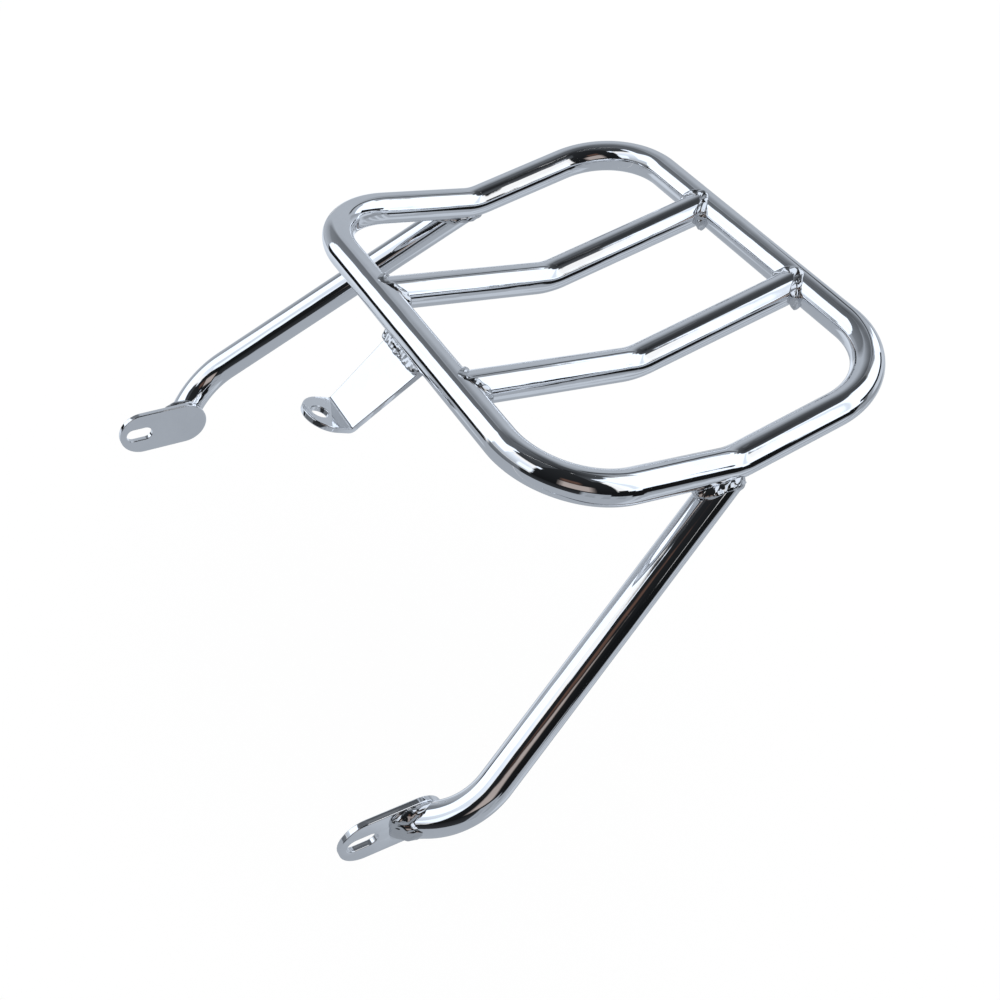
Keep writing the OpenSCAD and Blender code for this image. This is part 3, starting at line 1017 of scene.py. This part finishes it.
# Name, compass directions, heights, grey at the foot and at the head, radius in metres, and the
# feathered share of the card's width and height. Some end with a tint, in place of the cool one.
# Where cards overlap, the one with the smaller radius is seen.
CARDS = (
    ("sweep below", (-180, 180), (-89.5, -11), 0.41, 0.40, 3.00, (0, 0)),
    ("sweep, pale part", (-118, 61), (-50, -14), 0.51, 0.58, 2.99, (0.15, 0.2)),
    ("sweep, right of centre", (10, 64), (-56, -11), 0.58, 0.60, 2.985, (0.15, 0.08)),
    ("sweep, right part", (62, 125), (-25, 8), 0.31, 0.40, 2.98, (0.05, 0.05)),
    ("wall left, foot", (-132, -79), (-17, 26), 0.53, 0.20, 2.96, (0.05, 0.06)),
    ("wall left, head", (-168, -78), (11, 70), 0.24, 0.09, 2.95, (0.05, 0.08)),
    ("wall right, foot", (-96, 10), (-11, 56), 0.47, 0.47, 2.94, (0.08, 0.06)),
    ("wall right, head", (-91, -14), (33, 69), 0.47, 0.20, 2.935, (0.05, 0.2)),
    ("wall right, top", (-91, -44), (40, 64), 0.42, 0.04, 2.925, (0.12, 0.1)),
    ("low glow right", (-34, 62), (-14, 22), 0.30, 0.36, 2.93, (0.05, 0.05)),
    ("pale patch low", (-40, 4), (-27, 16), 0.58, 0.52, 2.92, (0.2, 0.2)),
    ("pale patch rear", (-76, -44), (-31, -5), 1.0, 0.8, 2.915, (0.25, 0.25)),
    ("pale band left", (-133, -61), (-44, -19), 0.58, 0.82, 2.91, (0.1, 0.12)),
    ("ceiling left", (-148, -52), (61, 89.5), 0.14, 0.01, 2.88, (0, 0.12)),
    ("ceiling rear", (-68, 4), (60, 89.5), 0.08, 0.03, 2.87, (0, 0.16)),
    ("ceiling right", (-20, 84), (70, 89.5), 0.08, 0.01, 1.20, (0, 0.1)),
    ("ceiling corner", (66, 93), (59.5, 87.5), 0.09, 0.03, 2.595, (0.1, 0.1)),
    ("ceiling front", (148, 210), (46, 89.5), 0.035, 0.08, 2.85, (0, 0.08)),
    ("ceiling crown", (-180, 180), (86, 89.95), 0.03, 0.02, 2.50, (0, 0)),
    ("softbox right", (-22, 73), (21, 53.5), 1.2, 1.2, 2.80, (0.015, 0.03)),
    ("softbox right, shoulder", (-28, 70), (42, 52), 1.2, 1.2, 2.798, (0.015, 0.03)),
    ("softbox right, middle", (-13, 73), (50, 62), 1.2, 1.2, 2.795, (0.03, 0.03)),
    ("softbox right, head", (-6, 74), (59, 80), 1.2, 1.2, 2.59, (0.06, 0.05)),
    ("softbox right, foot", (40, 57), (14, 26), 1.2, 1.2, 2.785, (0.05, 0.05)),
    ("softbox right, low corner", (55, 69), (9, 33), 1.2, 1.2, 2.78, (0.05, 0.05)),
    ("softbox right, frame", (-40.5, -33), (25, 62), 0.08, 0.06, 2.785, (0.2, 0.1)),
    ("softbox right, lower edge", (-6, 46), (18, 28), 0.008, 0.008, 2.77, (0.02, 0.08)),
    ("glow under the softbox", (-12, 27), (0, 20), 0.62, 0.62, 2.905, (0.15, 0.1)),
    ("grey under the softbox", (32, 47), (3, 20), 0.12, 0.14, 2.90, (0.15, 0.15)),
    ("softbox left", (193, 239), (17, 50), 1.2, 1.2, 2.75, (0.03, 0.06)),
    ("softbox left, head", (200, 214), (47.5, 60), 1.2, 1.2, 2.74, (0.15, 0.1)),
    ("softbox left, foot", (208, 240), (-5, 18), 1.2, 1.2, 2.73, (0.05, 0.04)),
    ("softbox left, dim foot", (160, 238), (1, 40), 0.45, 1.0, 2.76, (0.1, 0.1)),
    ("gap left", (160, 216), (-19, 3), 0.13, 0.20, 2.70, (0.1, 0.1)),
    ("black edge left", (212, 242), (-18, -3.6), 0.008, 0.008, 1.02, (0.08, 0.06)),
    ("dark room", (79, 163), (-2, 89.5), 0.008, 0.023, 2.60, (0.03, 0.02)),
    ("dark room, foot", (112, 174), (-21, 1), 0.035, 0.015, 2.59, (0.06, 0.06)),
    ("dark room, left", (63, 88), (-10, 15), 0.008, 0.008, 2.58, (0.04, 0.06)),
    ("dark room, corner", (70, 80), (5, 21), 0.008, 0.008, 2.585, (0.1, 0.1)),
    ("brown door", (100.5, 137.5), (3, 31), 0.38, 0.36, 2.55, (0.2, 0.1), (1.12, 0.97, 0.91)),
    ("brown rail", (112, 136), (30, 46), 0.06, 0.08, 2.55, (0.2, 0.3), (1.5, 0.85, 0.65)),
    ("black edge right", (43, 57), (-8, 14.5), 0.008, 0.008, 2.545, (0.05, 0.05)),
    ("black edge right, low", (54, 67), (-17, 11.5), 0.008, 0.008, 2.54, (0.05, 0.06)),
    ("lamp by the door", (159, 178), (6, 26), 1.1, 1.1, 2.52, (0.15, 0.15)),
    ("lamp, upper glint", (157, 165), (42, 52), 1.1, 1.1, 2.525, (0.2, 0.2)),
    ("seam in softbox", (56, 66), (20, 72), 0.85, 0.85, 2.51, (0.3, 0.05)),
)
for values in CARDS:
    card(*values)
print("cards:", len(CARDS))

# %% [markdown]
# ## Floor, world and light
# The photograph stands on plain white. The floor is a wide pale plane well below the rack, which
# hangs from its mounts, and it keeps a faint soft shadow: a fifth of what is seen is lit paint, the
# rest is plain white.
# Light Path lets camera, mirror and glass rays see the white, while other rays get an even soft
# light.

# %% Floor and world
FLOOR_PAINT = 0.86
FLOOR_WHITE = 0.8
FLOOR_HALF, FLOOR_Z = 9.0, -0.12
FILL_LIGHT = 1.2


def seen_rays(tree):
    """1 for the rays of the camera, of mirrors and of glass, and 0 for all others."""
    path = tree.nodes.new("ShaderNodeLightPath")
    seen = math_node(tree, "MAXIMUM", path.outputs["Is Camera Ray"], path.outputs["Is Glossy Ray"])
    return math_node(tree, "MAXIMUM", seen, path.outputs["Is Transmission Ray"])


floor_material = bpy.data.materials.new("Floor")
floor_material.use_nodes = True
tree = floor_material.node_tree
paint = tree.nodes["Principled BSDF"]
paint.inputs["Base Color"].default_value = (FLOOR_PAINT, FLOOR_PAINT, FLOOR_PAINT, 1)
paint.inputs["Roughness"].default_value = 0.9
paint.inputs["Specular IOR Level"].default_value = 0.0
white = tree.nodes.new("ShaderNodeEmission")
white.inputs["Color"].default_value = (1, 1, 1, 1)
mix = tree.nodes.new("ShaderNodeMixShader")
tree.links.new(math_node(tree, "MULTIPLY", seen_rays(tree), FLOOR_WHITE), mix.inputs[0])
tree.links.new(paint.outputs[0], mix.inputs[1])
tree.links.new(white.outputs[0], mix.inputs[2])
tree.links.new(mix.outputs[0], tree.nodes["Material Output"].inputs["Surface"])

signs = ((-1, -1), (1, -1), (1, 1), (-1, 1))
corners = [(FLOOR_HALF * x, FLOOR_HALF * y, FLOOR_Z) for x, y in signs]
mesh = bpy.data.meshes.new("floor")
mesh.from_pydata(corners, [], [(0, 1, 2, 3)])
mesh.materials.append(floor_material)
floor = bpy.data.objects.new("floor", mesh)
bpy.context.scene.collection.objects.link(floor)
floor.visible_glossy = False

world = bpy.data.worlds.new("studio")
world.use_nodes = True
bpy.context.scene.world = world
tree = world.node_tree
background = tree.nodes["Background"]
shade = tree.nodes.new("ShaderNodeMix")
shade.data_type = "RGBA"
shade.inputs[MIX_A].default_value = (FILL_LIGHT, FILL_LIGHT, FILL_LIGHT, 1)
shade.inputs[MIX_B].default_value = (1, 1, 1, 1)
tree.links.new(seen_rays(tree), shade.inputs[MIX_FACTOR])
tree.links.new(shade.outputs[MIX_RESULT], background.inputs["Color"])
background.inputs["Strength"].default_value = 1.0
print("floor at z", FLOOR_Z)

# %% [markdown]
# ## The view at the end
# The colours are written as they should be seen, so the view transform is Standard, without the
# contrast curve that Blender starts with.

# %% Finish
view = bpy.context.scene.view_settings
view.view_transform = "Standard"
